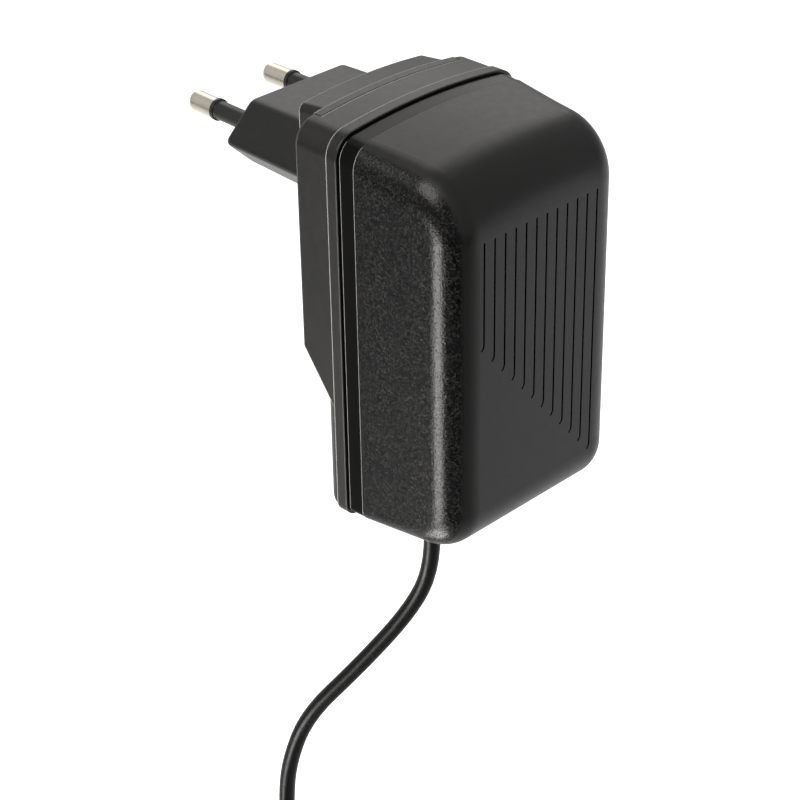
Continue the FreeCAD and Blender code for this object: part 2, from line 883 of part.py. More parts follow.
def make_transformer():
    """Two core halves, a bobbin and its winding, in the middle of the board."""
    z = -32.0
    wide, high, deep = 21.0, 19.0, 17.0
    leg = 6.0
    wall = leg / 2
    flange = 1.0
    stand = 1.5
    play = 0.1
    middle = stand + deep / 2
    core = deep * 0.3
    full = (stand, stand + deep)
    halves = []
    for tag, low, top in (("lower", z - high / 2, z), ("upper", z, z + high / 2)):
        gap = play / 2 if tag == "upper" else 0
        inside = (z - 1, top - wall) if tag == "upper" else (low + wall, z + 1)
        whole = on_board(
            f"core_{tag}_whole",
            (-wide / 2, wide / 2),
            (middle - core, middle + core),
            (low + gap, top),
        )
        windows = [
            on_board(f"core_{tag}_window_{side}", span, full, inside)
            for side, span in (
                ("left", (-wide / 2 + wall, -leg / 2)),
                ("right", (leg / 2, wide / 2 - wall)),
            )
        ]
        halves.append(cut(f"transformer_core_{tag}", whole, fuse(f"core_{tag}_windows", *windows)))
    inner = high / 2 - wall - play
    reach = wide / 2 - wall - play

    def round_the_leg(name, grown, levels):
        return on_board(
            name,
            (-leg / 2 - grown, leg / 2 + grown),
            (middle - core - grown, middle + core + grown),
            levels,
        )

    tube = round_the_leg("bobbin_tube", play + flange, (z - inner, z + inner))
    plates = []
    for tag, low in (("lower", z - inner), ("upper", z + inner - flange)):
        plates.append(on_board(f"bobbin_end_{tag}", (-reach, reach), full, (low, low + flange)))
        plates.append(
            on_board(f"bobbin_foot_{tag}", (-reach, reach), (0, stand + 1), (low, low + flange))
        )
    bore = round_the_leg("bobbin_bore", play, (z - high, z + high))
    bobbin = cut("transformer_bobbin", fuse("bobbin_solid", tube, *plates), bore)
    coil = on_board(
        "winding_block",
        (0.5 - reach, reach - 0.5),
        (stand + 0.6, stand + deep - 0.6),
        (z - inner + flange + play, z + inner - flange - play),
    )
    coil = rounded("winding_round", coil, 2.0, lambda b: b.ZLength > 2 and b.XLength < 0.01)
    core_room = round_the_leg("winding_room", flange + 2 * play, (z - high, z + high))
    return [*halves, bobbin, cut("transformer_winding", coil, core_room)]


def make_components():
    """What stands on the board, from the mains side at the top down to the output."""
    items = [
        can_part("fuse", -12.5, -2.0, 4.2, 8.0),
        block_part("x_capacitor", 0.0, -2.0, 13.0, 6.0, 11.0),
        can_part("line_choke", 12.3, -2.0, 4.6, 11.0),
        block_part("bridge_rectifier", -9.0, -13.0, 10.0, 6.5, 3.0),
        can_part("mains_capacitor", 7.0, -13.5, 5.0, 20.0),
        block_part("insulating_barrier", 0.0, -20.4, 33.0, 0.8, 15.0),
        can_part("y_capacitor", -13.9, -31.0, 3.2, 4.0),
        block_part("optocoupler", 14.4, -31.0, 4.6, 6.5, 3.6),
        can_part("output_capacitor_left", -10.0, -49.5, 4.0, 12.0),
        can_part("output_capacitor_right", 0.0, -49.5, 4.0, 12.0),
        block_part("output_rectifier", 10.5, -49.0, 7.0, 6.0, 2.4),
    ]
    back = "-(board_reach - board_thick)"
    for name, x, z, wide, high in (
        ("controller_chip", 6.0, -14.0, 4.9, 3.9),
        ("switching_transistor", -6.0, -14.0, 6.5, 6.1),
    ):
        item = on_board(name, (x - wide / 2, x + wide / 2), (0, 1.5), (z - high / 2, z + high / 2))
        put(item, f"{x - wide / 2} * board_column", back, f"{z - high / 2} * board_line")
        items.append(item)
    for side, sign in (("plus", 1), ("minus", -1)):
        items.append(
            rod(
                f"output_lead_{side}",
                "Z",
                0.65,
                "5.4",
                sign * 1.2,
                "-(board_reach + 0.65 + seat_play)",
                "-(base_drop - shell_wall - flange_high - seat_play * 4)",
            )
        )
    return items


def make_strain_relief():
    """The bush between the shells and the taper that guards the cord."""
    axis_y = "-(parting_reach - parting_gap / 2)"
    floor = "-(base_drop - shell_wall - seat_play * 3)"
    flange = rod("relief_flange_disc", "Z", "relief_flange", "flange_high", 0, axis_y, floor)
    neck = rod(
        "relief_neck",
        "Z",
        "relief_radius",
        "shell_wall + flange_high",
        0,
        axis_y,
        "-base_drop",
    )
    taper = cone(
        "relief_taper",
        "Z",
        "relief_tip",
        "relief_radius",
        "relief_length",
        0,
        axis_y,
        "-(base_drop + relief_length)",
    )
    rings = [
        cut(
            f"relief_ring_{number}",
            rod(
                f"relief_ring_{number}_outer",
                "Z",
                "relief_radius * 2",
                "relief_length / 12",
                0,
                axis_y,
                f"-(base_drop + relief_length * {number} / 6)",
            ),
            rod(
                f"relief_ring_{number}_inner",
                "Z",
                f"relief_radius - (relief_radius - relief_tip) * {number} / 6 - seat_play * 4",
                "relief_length / 12",
                0,
                axis_y,
                f"-(base_drop + relief_length * {number} / 6)",
            ),
        )
        for number in range(1, 6)
    ]
    body = fuse("relief_solid", flange, neck, taper)
    return cut("strain_relief", body, fuse("relief_rings", *rings))


CORD_ROUTE = [
    (0.0, -34.495, -79.75),
    (0.0, -34.495, -88.0),
    (-3.2, -31.4, -98.5),
    (-11.0, -23.5, -113.0),
    (-18.6, -15.7, -125.5),
    (-21.6, -12.7, -138.0),
    (-22.4, -12.0, -148.5),
    (-22.4, -12.0, -158.0),
]


def make_cord():
    """The stretch of cord from the strain relief to the coil: straight runs and tangent arcs."""
    points = [Vector(*place) for place in CORD_ROUTE]
    points[0].z = -(worked_out("base_drop") + worked_out("relief_length"))
    edges = []
    start = points[0]
    radii = []
    for before, corner, after in zip(points, points[1:], points[2:]):
        inward = (corner - before).normalize()
        outward = (after - corner).normalize()
        half_turn = inward.getAngle(outward) / 2
        shorter = min((corner - before).Length, (after - corner).Length)
        radius = 0.45 * shorter / math.tan(half_turn)
        radii.append(round(radius, 1))
        setback = radius * math.tan(half_turn)
        enter = corner - inward * setback
        leave = corner + outward * setback
        bisector = (outward - inward).normalize()
        middle = corner + bisector * (radius / math.cos(half_turn) - radius)
        edges.append(Part.LineSegment(start, enter).toShape())
        edges.append(Part.Arc(enter, middle, leave).toShape())
        start = leave
    edges.append(Part.LineSegment(start, points[-1]).toShape())
    path = Part.Wire(edges)
    section = Part.Wire(Part.makeCircle(worked_out("cord_radius"), points[0], points[1] - points[0]))
    item = doc.addObject("Part::Feature", "cord")
    item.Shape = path.makePipeShell([section], True, False)
    print("cord radii", radii, "path", round(path.Length, 2))
    print("cord volume over section times length",
          round(item.Shape.Volume / (math.pi * worked_out("cord_radius") ** 2 * path.Length), 5))
    return item


def make_coil():
    """The outer shape of the put-away coil, with its incoming and outgoing straight ends."""
    end_x, end_y, end_z = CORD_ROUTE[-1]
    outer = "(coil_mean + coil_deep / 2)"
    inner = "(coil_mean - coil_deep / 2)"
    turn = "(coil_mean + coil_deep / 2 - cord_radius - seat_play * 2)"
    level = "(coil_wide / 2 - cord_radius - seat_play * 3)"
    centre_x = f"({end_x} - {turn})"
    centre_y = f"({end_y} - {level})"
    centre_z = f"({end_z} - 24)"
    start_y = f"{centre_y} - coil_wide / 2"
    ring = cut(
        "coil_ring",
        rod("coil_disc", "Y", outer, "coil_wide", centre_x, start_y, centre_z),
        rod("coil_eye", "Y", inner, "coil_wide + 2", centre_x, f"{start_y} - 1", centre_z),
    )
    ring = rounded("coil_round", ring, 2.0, lambda b: b.YLength < 0.01 and b.XLength > 9)
    lead = rod("coil_lead", "Z", "cord_radius", "24", end_x, end_y, centre_z)
    tail_y = f"({centre_y} - {level})"
    tail = rod("coil_end", "Z", "cord_radius", "coil_tail", end_x, tail_y, f"{centre_z} - coil_tail")
    coil = fuse("cord_coil", ring, lead, tail)
    play = "seat_play * 3"
    hole = box(
        "tie_hole",
        (f"{centre_x} - {outer} - {play}", f"{centre_x} - {inner} + {play} * 3"),
        (f"{centre_y} - coil_wide / 2 - {play}", f"{centre_y} + coil_wide / 2 + {play}"),
        (f"{centre_z} - tie_band", f"{centre_z} + tie_band"),
    )
    grown = f"{play} + tie_thick"
    band = box(
        "tie_block",
        (f"{centre_x} - {outer} - ({grown})", f"{centre_x} - {inner} + {play} * 2 + ({grown})"),
        (f"{centre_y} - coil_wide / 2 - ({grown})", f"{centre_y} + coil_wide / 2 + {grown}"),
        (f"{centre_z} - tie_band / 2", f"{centre_z} + tie_band / 2"),
    )
    band = rounded("tie_round", band, 2.0, lambda b: b.ZLength > 3)
    plug_top = f"({centre_z} - coil_tail)"
    return [coil, cut("cord_tie", band, hole), *make_plug(end_x, tail_y, plug_top)]


def slot_prism(name, wide, thick, length, x, y, z):
    """A prism with half-round ends in X, as the USB-C outline has."""
    half = f"({wide}) / 2 - ({thick}) / 2"
    middle = box(
        f"{name}_middle",
        (f"{x} - ({half})", f"{x} + {half}"),
        (f"{y} - ({thick}) / 2", f"{y} + ({thick}) / 2"),
        (z, f"{z} + {length}"),
    )
    ends = [
        rod(f"{name}_{tag}", "Z", f"({thick}) / 2", length, f"{x} {sign} ({half})", y, z)
        for tag, sign in (("left", "-"), ("right", "+"))
    ]
    return fuse(name, middle, *ends)


def make_plug(x, y, top):
    """The USB-C plug: overmould, drawn metal shell and the contact insert inside it."""
    foot = f"({top} - plug_neck - plug_body)"
    neck = cone("overmould_neck", "Z", "plug_thick * 0.45", "cord_radius + 0.6", "plug_neck", x, y,
                f"{top} - plug_neck")
    body = box(
        "overmould_block",
        (f"{x} - plug_width / 2", f"{x} + plug_width / 2"),
        (f"{y} - plug_thick / 2", f"{y} + plug_thick / 2"),
        (foot, f"{foot} + plug_body"),
    )
    body = rounded("overmould_sides", body, 2.4, lambda b: b.ZLength > 9)
    overmould = fuse("overmould_solid", neck, body)
    socket = slot_prism("overmould_socket", "usb_width + seat_play", "usb_thick + seat_play",
                        "usb_length", x, y, foot)
    overmould = cut("usb_c_overmould", overmould, socket)
    rise = "(usb_length - seat_play)"
    low = f"({foot} - usb_length)"
    outer = slot_prism("usb_outer", "usb_width", "usb_thick", f"(usb_length + {rise})", x, y, low)
    inner = slot_prism("usb_inner", "usb_width - usb_wall * 2", "usb_thick - usb_wall * 2",
                       "usb_length * 3", x, y, f"({low} - usb_length / 2)")
    shell = cut("usb_c_shell", outer, inner)
    liner = slot_prism("liner", "usb_width - usb_wall * 2 - seat_play",
                       "usb_thick - usb_wall * 2 - seat_play",
                       f"({rise} + usb_length * 0.85)", x, y, f"({low} + usb_length * 0.15)")
    mouth = box(
        "liner_mouth",
        (f"{x} - usb_width * 0.39", f"{x} + usb_width * 0.39"),
        (f"{y} - 0.42", f"{y} + 0.42"),
        (f"{low} - 1", f"{low} + usb_length * 0.95"),
    )
    return [overmould, shell, cut("usb_c_contacts", liner, mouth)]


NODES = [make_front_shell(), make_rear_shell(), make_plug_insert()]
for hand in ("left", "right"):
    NODES += [pin_body(hand, "0"), make_sleeve(hand), make_contact_spring(hand)]
NODES += [make_board(), *make_transformer(), *make_components()]
NODES += [make_strain_relief(), make_cord(), *make_coil()]

doc.recompute()
failed = [item.Name for item in doc.Objects if {"Invalid", "Error"} & set(item.State)]
if failed:
    raise RuntimeError(f"these failed: {failed}")
for node in NODES:
    if node.Shape.isNull() or not node.Shape.isValid() or not node.Shape.Solids:
        raise RuntimeError(f"{node.Name} has no valid solid")
for node in NODES:
    node.Label = node.Name
    node.Shape.exportStep(f"parts/{node.Label}.step")
    print(node.Label, "solids", len(node.Shape.Solids), "volume", round(node.Shape.Volume, 1))
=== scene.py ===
# %% [markdown]
# A black wall power supply, dressed for its portrait
#
# The housing, the plug and the pins come from the construction model at their real size, in metres.
# They could be modelled again by eye, but then the picture and the part would drift apart. So this
# script gives them their finishes, lays the cord, and sets the camera and the studio.

# %% Load the construction model as a fixed frame
import json
import math

import bpy
from mathutils import Matrix, Vector


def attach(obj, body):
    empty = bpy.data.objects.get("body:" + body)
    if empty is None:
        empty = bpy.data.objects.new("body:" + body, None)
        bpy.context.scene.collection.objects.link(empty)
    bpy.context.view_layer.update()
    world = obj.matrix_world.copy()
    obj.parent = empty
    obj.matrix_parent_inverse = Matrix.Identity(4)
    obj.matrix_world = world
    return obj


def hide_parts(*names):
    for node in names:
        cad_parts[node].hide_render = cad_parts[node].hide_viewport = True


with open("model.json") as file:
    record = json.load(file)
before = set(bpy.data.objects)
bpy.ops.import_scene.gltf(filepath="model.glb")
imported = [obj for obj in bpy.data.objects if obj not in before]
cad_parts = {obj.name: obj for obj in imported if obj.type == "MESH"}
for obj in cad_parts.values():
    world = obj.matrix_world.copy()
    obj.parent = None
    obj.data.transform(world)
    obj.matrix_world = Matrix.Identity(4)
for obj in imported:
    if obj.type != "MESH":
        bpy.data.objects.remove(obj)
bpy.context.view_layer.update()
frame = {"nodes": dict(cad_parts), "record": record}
nodes = frame["nodes"]
MM = 0.001

# %% [markdown]
# A small object is easier to think of in millimetres, while Blender's unit here is the metre. One
# helper turns a place in millimetres into one in metres.


# %% A helper for places
def mm(*values):
    """Millimetres as a vector in metres."""
    return Vector(values) * MM


# %% [markdown]
# The camera comes first, because every later choice is judged through it. It could be placed by
# trial, but here its place was worked out from the housing's straight edges in the photograph. It
# stands 0.4 metres away to the front left, looks down by 31 degrees and leans by one degree.

# %% The camera
CAMERA_PLACE = mm(-254.758, -287.752, 169.027)
AZIMUTH, ELEVATION, ROLL = 44.228, 31.236, -1.013
LENS, SENSOR = 99.29, 36.0
NEAREST_SEEN = 10.0 * MM

camera_data = bpy.data.cameras.new("portrait_camera")
camera_data.lens = LENS
camera_data.sensor_width = SENSOR
camera_data.clip_start = NEAREST_SEEN
camera = bpy.data.objects.new("portrait_camera", camera_data)
bpy.context.scene.collection.objects.link(camera)
turn = (
    Matrix.Rotation(math.radians(-AZIMUTH), 4, "Z")
    @ Matrix.Rotation(math.radians(90 - ELEVATION), 4, "X")
    @ Matrix.Rotation(math.radians(ROLL), 4, "Z")
)
camera.matrix_world = Matrix.Translation(CAMERA_PLACE) @ turn
bpy.context.scene.camera = camera
print("camera looks along", [round(c, 3) for c in (turn @ Vector((0, 0, -1)))])

# %% [markdown]
# The cord is thin, round and flexible, and a chain of cylinders would show its joints. So it is one
# smooth NURBS curve with a round section, and a curve needs control points. The first ones are
# listed: from the bush under the housing to where the cord hangs straight down.

# %% The cord's route, in millimetres
CORD_RADIUS = 1.7
CORD_ROUTE = [
    (0.0, -34.495, -79.75),
    (0.0, -34.495, -88.0),
    (-3.2, -31.4, -98.5),
    (-11.0, -23.5, -113.0),
    (-18.6, -15.7, -125.5),
    (-21.6, -12.7, -138.0),
    (-22.4, -12.0, -148.5),
    (-22.4, -12.0, -158.0),
]
print("cord falls from", CORD_ROUTE[0][2], "to", CORD_ROUTE[-1][2], "mm before it is coiled")

# %% [markdown]
# The rest of the cord is put away in a coil below the picture. Its points are too many to choose by
# hand, so a function works them out: four flat spirals side by side, which wind inwards and outwards
# in turn. At the end of each spiral the cord crosses over to the next one.

# %% The coil and the ends on both sides of it, in millimetres
LEAD_IN, TAIL = 24.0, 17.0
LEAD_IN_DROPS = (6.0, 15.0)
TAIL_PARTS = (0.35, 0.7, 1.0)
TURN_RADIUS, DISC_GAP, TURN_GAP = 23.5, 3.4, 3.4
DISCS, TURNS_A_DISC, POINTS_A_TURN = 4, 3, 24
HALF_CROSSING = 0.125  # turns
end_x, end_y, end_z = CORD_ROUTE[-1]
coil_x, coil_y, coil_z = end_x - TURN_RADIUS, end_y, end_z - LEAD_IN


def coil_point(turns):
    """A point of the coil after so many turns, counted from its right side going down."""
    disc = min(int(turns / TURNS_A_DISC), DISCS - 1)
    within = turns - disc * TURNS_A_DISC
    to_come = TURNS_A_DISC - within
    inwards = within if disc % 2 == 0 else to_come
    radius = TURN_RADIUS - inwards * TURN_GAP
    shift = 0.0
    if disc < DISCS - 1 and to_come < HALF_CROSSING:
        shift = 0.5 * (1 - to_come / HALF_CROSSING)
    if disc > 0 and within < HALF_CROSSING:
        shift = 0.5 * (within / HALF_CROSSING - 1)
    angle = 2 * math.pi * turns
    return (
        coil_x + radius * math.cos(angle),
        coil_y - (disc + shift) * DISC_GAP,
        coil_z - radius * math.sin(angle),
    )


steps = DISCS * TURNS_A_DISC * POINTS_A_TURN
route = CORD_ROUTE[:-1] + [(end_x, end_y, end_z - drop) for drop in LEAD_IN_DROPS]
route += [coil_point(step / POINTS_A_TURN) for step in range(steps + 1)]
tail_x, tail_y, tail_z = route[-1]
route += [(tail_x, tail_y, tail_z - TAIL * part) for part in TAIL_PARTS]
print("cord control points", len(route))

# %% [markdown]
# A curve's thickness can come from one bevel depth or from a radius at each point. Blender adds the
# points' radius to the size that it states for the curve, and an untouched radius is one metre. So
# the points carry the cord's radius, and the bevel depth is the plain one that they multiply.

# %% The cord as one curve
SECTION_STEPS, STEPS_A_SPAN, SPLINE_ORDER = 6, 5, 3
PLAIN_DEPTH = 1.0
cord_curve = bpy.data.curves.new("cord_line", "CURVE")
cord_curve.dimensions = "3D"
cord_curve.bevel_depth = PLAIN_DEPTH
cord_curve.bevel_resolution = SECTION_STEPS
cord_curve.resolution_u = STEPS_A_SPAN
cord_curve.use_fill_caps = True
spline = cord_curve.splines.new("NURBS")
spline.points.add(len(route) - 1)
for point, place in zip(spline.points, route):
    point.co = (*mm(*place), 1.0)
    point.radius = CORD_RADIUS * MM
spline.order_u = SPLINE_ORDER
spline.use_endpoint_u = True
cord = bpy.data.objects.new("supply_cord", cord_curve)
bpy.context.scene.collection.objects.link(cord)
print("cord section, mm", 2 * CORD_RADIUS)

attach(cord, "root")
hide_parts("cord", "cord_coil")

# %% [markdown]
# A finish is a small tree of nodes. They could be added one by one for each material, but the same
# few steps come back in all of them. Short helpers wire those steps. A value that is the same all
# over a surface goes straight onto the shader's socket.


# %% Helpers that wire material nodes
def new_material(name):
    """A material with its node tree, its Principled shader and its Object coordinates."""
    material = bpy.data.materials.new(name)
    material.use_nodes = True
    tree = material.node_tree
    shader = tree.nodes["Principled BSDF"]
    coords = tree.nodes.new("ShaderNodeTexCoord")
    return material, tree, shader, coords.outputs["Object"]


def feed(tree, socket, value):
    """A number, a colour or another node's output into a socket."""
    if isinstance(value, (int, float, tuple)):
        socket.default_value = value
    else:
        tree.links.new(value, socket)


def noise(tree, vector, scale, detail=3.0):
    """A noise texture's value, with its scale in cells a metre."""
    node = tree.nodes.new("ShaderNodeTexNoise")
    feed(tree, node.inputs["Vector"], vector)
    feed(tree, node.inputs["Scale"], scale)
    feed(tree, node.inputs["Detail"], detail)
    return node.outputs["Fac"]


def spread(tree, value, low, high, from_low=0.3, from_high=0.7):
    """A value stretched to a new range, from the range that most of a noise lies in."""
    node = tree.nodes.new("ShaderNodeMapRange")
    numbers = (value, from_low, from_high, low, high)
    names = ("Value", "From Min", "From Max", "To Min", "To Max")
    for name, number in zip(names, numbers):
        feed(tree, node.inputs[name], number)
    return node.outputs["Result"]


def mathed(tree, operation, first, second=0.0):
    """One arithmetic step on values or numbers."""
    node = tree.nodes.new("ShaderNodeMath")
    node.operation = operation
    feed(tree, node.inputs[0], first)
    feed(tree, node.inputs[1], second)
    return node.outputs[0]


def mixed(tree, factor, first, second, kind="FLOAT"):
    """A mix of two values or two colours, which the node keeps on different sockets."""
    node = tree.nodes.new("ShaderNodeMix")
    node.data_type = kind
    first_in, second_in, result = {"FLOAT": (2, 3, 0), "RGBA": (6, 7, 2)}[kind]
    feed(tree, node.inputs[0], factor)
    feed(tree, node.inputs[first_in], first)
    feed(tree, node.inputs[second_in], second)
    return node.outputs[result]


def tones(tree, factor, first, second):
    """A mix of two colours, each of them a plain colour or another node's output."""
    first, second = [(*side, 1.0) if isinstance(side, tuple) else side for side in (first, second)]
    return mixed(tree, factor, first, second, "RGBA")


def parts_of(tree, vector):
    """The three coordinates of a vector."""
    node = tree.nodes.new("ShaderNodeSeparateXYZ")
    tree.links.new(vector, node.inputs[0])
    return node.outputs["X"], node.outputs["Y"], node.outputs["Z"]


# %% [markdown]
# No moulded edge is quite sharp, and a bevel on every edge of every piece would cost many faces. The
# Bevel node rounds edges in the shading alone. On the real supply the edges that round towards the
# back catch the light and show pale lines, so a second helper paints them into the colour as a painted
# highlight: it finds them where the rounded surface turns further back than the true one.

# %% Helpers for edges, painted rim highlights and relief
EDGE_SAMPLES = 6
# The painted highlight's colour on edges that round towards the back, and where it starts and is full.
PAINTED_RIM_HIGHLIGHT = (0.40, 0.39, 0.37)
RIM_HIGHLIGHT_START, RIM_HIGHLIGHT_FULL = 0.06, 0.40


def softened(tree, rim):
    """The surface's direction with its edges rounded by a radius in millimetres."""
    edge = tree.nodes.new("ShaderNodeBevel")
    edge.samples = EDGE_SAMPLES
    edge.inputs["Radius"].default_value = rim * MM
    return edge.outputs[0]


def relief(tree, shader, height, rim):
    """A bump from a height in metres, over edges softened by a radius in millimetres."""
    node = tree.nodes.new("ShaderNodeBump")
    node.inputs["Distance"].default_value = 1.0
    feed(tree, node.inputs["Height"], height)
    tree.links.new(softened(tree, rim), node.inputs["Normal"])
    tree.links.new(node.outputs["Normal"], shader.inputs["Normal"])


def paint_rim_highlight(tree, colour, rim, highlight_colour=PAINTED_RIM_HIGHLIGHT):
    """A colour that changes to a painted highlight where an edge rounds towards the back."""
    facing = tree.nodes.new("ShaderNodeNewGeometry")
    flat_turn = parts_of(tree, facing.outputs["Normal"])[1]
    soft_turn = parts_of(tree, softened(tree, rim))[1]
    turned = mathed(tree, "SUBTRACT", soft_turn, flat_turn)
    return tones(tree, spread(tree, turned, 0.0, 1.0, RIM_HIGHLIGHT_START, RIM_HIGHLIGHT_FULL), colour, highlight_colour)


# %% [markdown]
# Most pieces have one plain finish, and even a plain one is never perfectly even. So each has a
# colour that drifts a little between two tones, a roughness that wanders, and a grain too fine to
# see singly. One function makes them all, and a dictionary keeps them under the record's slots.

# %% A plain finish
DRIFT, WANDER, FINE = 60.0, 700.0, 2600.0  # cells a metre
FINE_DETAIL = 2.0
FINISHES = {}


def finish(
    name, dark, light, rough, specular=0.5, metallic=0.0, grain=0.006, rim=0.12, painted_rim_light=False
):
    """One plain finish, with its grain's height and its edges' radius in millimetres."""
    material, tree, shader, place = new_material(name)
    colour = tones(tree, spread(tree, noise(tree, place, DRIFT), 0.0, 1.0), dark, light)
    # Where asked, the edges that round towards the back get a painted highlight in the colour.
    if painted_rim_light:
        colour = paint_rim_highlight(tree, colour, rim)
    feed(tree, shader.inputs["Base Color"], colour)
    feed(tree, shader.inputs["Roughness"], spread(tree, noise(tree, place, WANDER), *rough))
    feed(tree, shader.inputs["Specular IOR Level"], specular)
    feed(tree, shader.inputs["Metallic"], metallic)
    height = mathed(tree, "MULTIPLY", noise(tree, place, FINE, FINE_DETAIL), grain * MM)
    relief(tree, shader, height, rim)
    return material


# %% [markdown]
# The rear shell and the plug are satin black plastic with a trace of brown. The sleeves on the pins
# and the moulding of the far plug are a little paler, and the cord's jacket is the darkest. A black
# is written very dark here, because most of its tone comes from what it mirrors.

# %% The black plastics outside
SATIN_DARK, SATIN_LIGHT = (0.0042, 0.0040, 0.0037), (0.0068, 0.0065, 0.0060)
# The satin's back edges carry a painted highlight.
FINISHES["housing_satin"] = finish(
    "satin_black", SATIN_DARK, SATIN_LIGHT, (0.30, 0.36), 0.45, rim=0.42, painted_rim_light=True
)
FINISHES["sleeve_plastic"] = finish("sleeve_black", (0.008,) * 3, (0.011,) * 3, (0.28, 0.36), 0.45)
FINISHES["cord_jacket"] = finish("cord_black", (0.0030,) * 3, (0.0045,) * 3, (0.30, 0.38), 0.2)
print("black plastics", list(FINISHES))

# %% [markdown]
# The pieces inside the housing aren't seen here, but they show when the model is opened. Their
# finishes are the usual ones of a power supply: a green board, grey ferrite, black packages, cans in
# shrink sleeve, yellow and blue capacitors, pale card and red leads.

# %% The pieces inside
INSIDE = {
    "bobbin_plastic": finish("bobbin_black", (0.010,) * 3, (0.016,) * 3, (0.40, 0.50)),
    "component_plastic": finish("package_black", (0.012,) * 3, (0.020,) * 3, (0.45, 0.60)),
    "capacitor_sleeve": finish("can_sleeve", (0.010, 0.012, 0.03), (0.014, 0.016, 0.04), (0.2, 0.3)),
    "film_capacitor": finish("potted_box", (0.52, 0.36, 0.04), (0.60, 0.43, 0.06), (0.25, 0.35)),
    "disc_ceramic": finish("blue_lacquer", (0.02, 0.08, 0.30), (0.03, 0.11, 0.38), (0.2, 0.3)),
    "card": finish("fish_paper", (0.42, 0.42, 0.36), (0.5, 0.5, 0.44), (0.7, 0.8), 0.3, grain=0.012),
    "board_laminate": finish("laminate", (0.01, 0.08, 0.03), (0.02, 0.12, 0.05), (0.3, 0.4)),
    "ferrite": finish("ferrite", (0.03, 0.03, 0.032), (0.05, 0.05, 0.05), (0.6, 0.7), grain=0.02),
    "lead_copper": finish("lead_jacket", (0.25, 0.02, 0.02), (0.32, 0.03, 0.03), (0.35, 0.45)),
    "usb_insert": finish("contact_insert", (0.008,) * 3, (0.012,) * 3, (0.35, 0.45)),
}
FINISHES.update(INSIDE)
print("inside", list(INSIDE))

# %% [markdown]
# Metal has no colour of its own under the shine: its base colour tints what it mirrors. The pins are
# nickel plated with a warm tint, and mirror softly. A metal shows every bump, so its grain is kept
# very low.

# %% The metals
METALS = {
    "pin_metal": finish(
        "nickel_pins", (0.78, 0.72, 0.61), (0.84, 0.78, 0.68), (0.25, 0.31), metallic=1.0, grain=0.0005
    ),
    "spring_bronze": finish(
        "bronze", (0.50, 0.33, 0.17), (0.60, 0.42, 0.24), (0.28, 0.38), metallic=1.0, grain=0.001
    ),
    "usb_steel": finish(
        "drawn_steel", (0.52, 0.52, 0.52), (0.60, 0.60, 0.60), (0.22, 0.30), metallic=1.0, grain=0.001
    ),
}
FINISHES.update(METALS)
print("metals", list(METALS))

# %% [markdown]
# Two pieces show their make in lines: the yellow tape lies in turns round the winding, and the tie is
# a woven band. The lines could be cut into the mesh, but they are shallow, so a wave texture gives
# them in the material. Its bands turn by a fixed angle in each unit, which sets their pitch.

# %% Finishes with lines
WAVE_TURN = 20.0  # radians in each unit of the texture
WAVER = 0.6
WAVE_RIM = 0.1


def lined(name, dark, light, rough, pitch, deep):
    """A finish with level lines, with their pitch and depth in millimetres."""
    material, tree, shader, place = new_material(name)
    wave = tree.nodes.new("ShaderNodeTexWave")
    wave.bands_direction = "Z"
    feed(tree, wave.inputs["Vector"], place)
    feed(tree, wave.inputs["Scale"], 2 * math.pi / (WAVE_TURN * pitch * MM))
    feed(tree, wave.inputs["Distortion"], WAVER)
    line = wave.outputs["Fac"]
    feed(tree, shader.inputs["Base Color"], tones(tree, line, dark, light))
    feed(tree, shader.inputs["Roughness"], spread(tree, line, *rough, 0.0, 1.0))
    relief(tree, shader, mathed(tree, "MULTIPLY", line, deep * MM), WAVE_RIM)
    return material


FINISHES["winding_tape"] = lined(
    "winding_tape", (0.50, 0.36, 0.03), (0.70, 0.52, 0.06), (0.30, 0.42), pitch=7.54, deep=0.02
)
FINISHES["tie_fabric"] = lined(
    "woven_tie", (0.004,) * 3, (0.014,) * 3, (0.65, 0.85), pitch=3.14, deep=0.05
)
print("finishes so far", len(FINISHES))

# %% [markdown]
# The front shell is one moulding with three finishes: a satin front and top, grained glossy panels on
# the sides, and a polished strip along its rear edge. It could be cut into three pieces, but the real
# shell has no seams there. So one material asks which way the surface faces and how far back it lies.

# %% Where the front shell's finishes lie
SIDE_START, SIDE_FULL = 0.50, 0.62
STRIP_EDGE, STRIP_BLUR = -38.17 * MM, 0.02 * MM
front_black, tree, shader, place = new_material("front_shell_finishes")
facing = tree.nodes.new("ShaderNodeNewGeometry")
sideways = mathed(tree, "ABSOLUTE", parts_of(tree, facing.outputs["Normal"])[0])
is_side = spread(tree, sideways, 0.0, 1.0, SIDE_START, SIDE_FULL)
far_back = parts_of(tree, place)[1]
on_strip = spread(tree, far_back, 0.0, 1.0, STRIP_EDGE - STRIP_BLUR, STRIP_EDGE + STRIP_BLUR)
print("polished strip behind y =", round(STRIP_EDGE / MM, 2), "mm")

# %% [markdown]
# The panels' grain glitters: most of it is black and some of it catches the light, so the pale
# specks are grain tone and partly painted glints. A picture of it could be wrapped round the shell,
# but a field of small cells has no seams and stays sharp near to. Each cell gets its own shade, and
# the darker half of the cells is all black. The line along the rear edge is a painted highlight on
# the sides and painted crease shade on the top.

# %% The front shell's colours, with painted glints, rim highlight and crease shade
GRAIN_CELLS = 3200.0  # cells a metre
SPECK_GLINT_START, SPECK_GLINT_FULL = 0.5, 1.0
# The pale specks are grain tone and partly painted glints.
PANEL_BLACK, PANEL_SPECK_AND_GLINT = (0.0, 0.0, 0.0), (0.015, 0.0146, 0.0138)
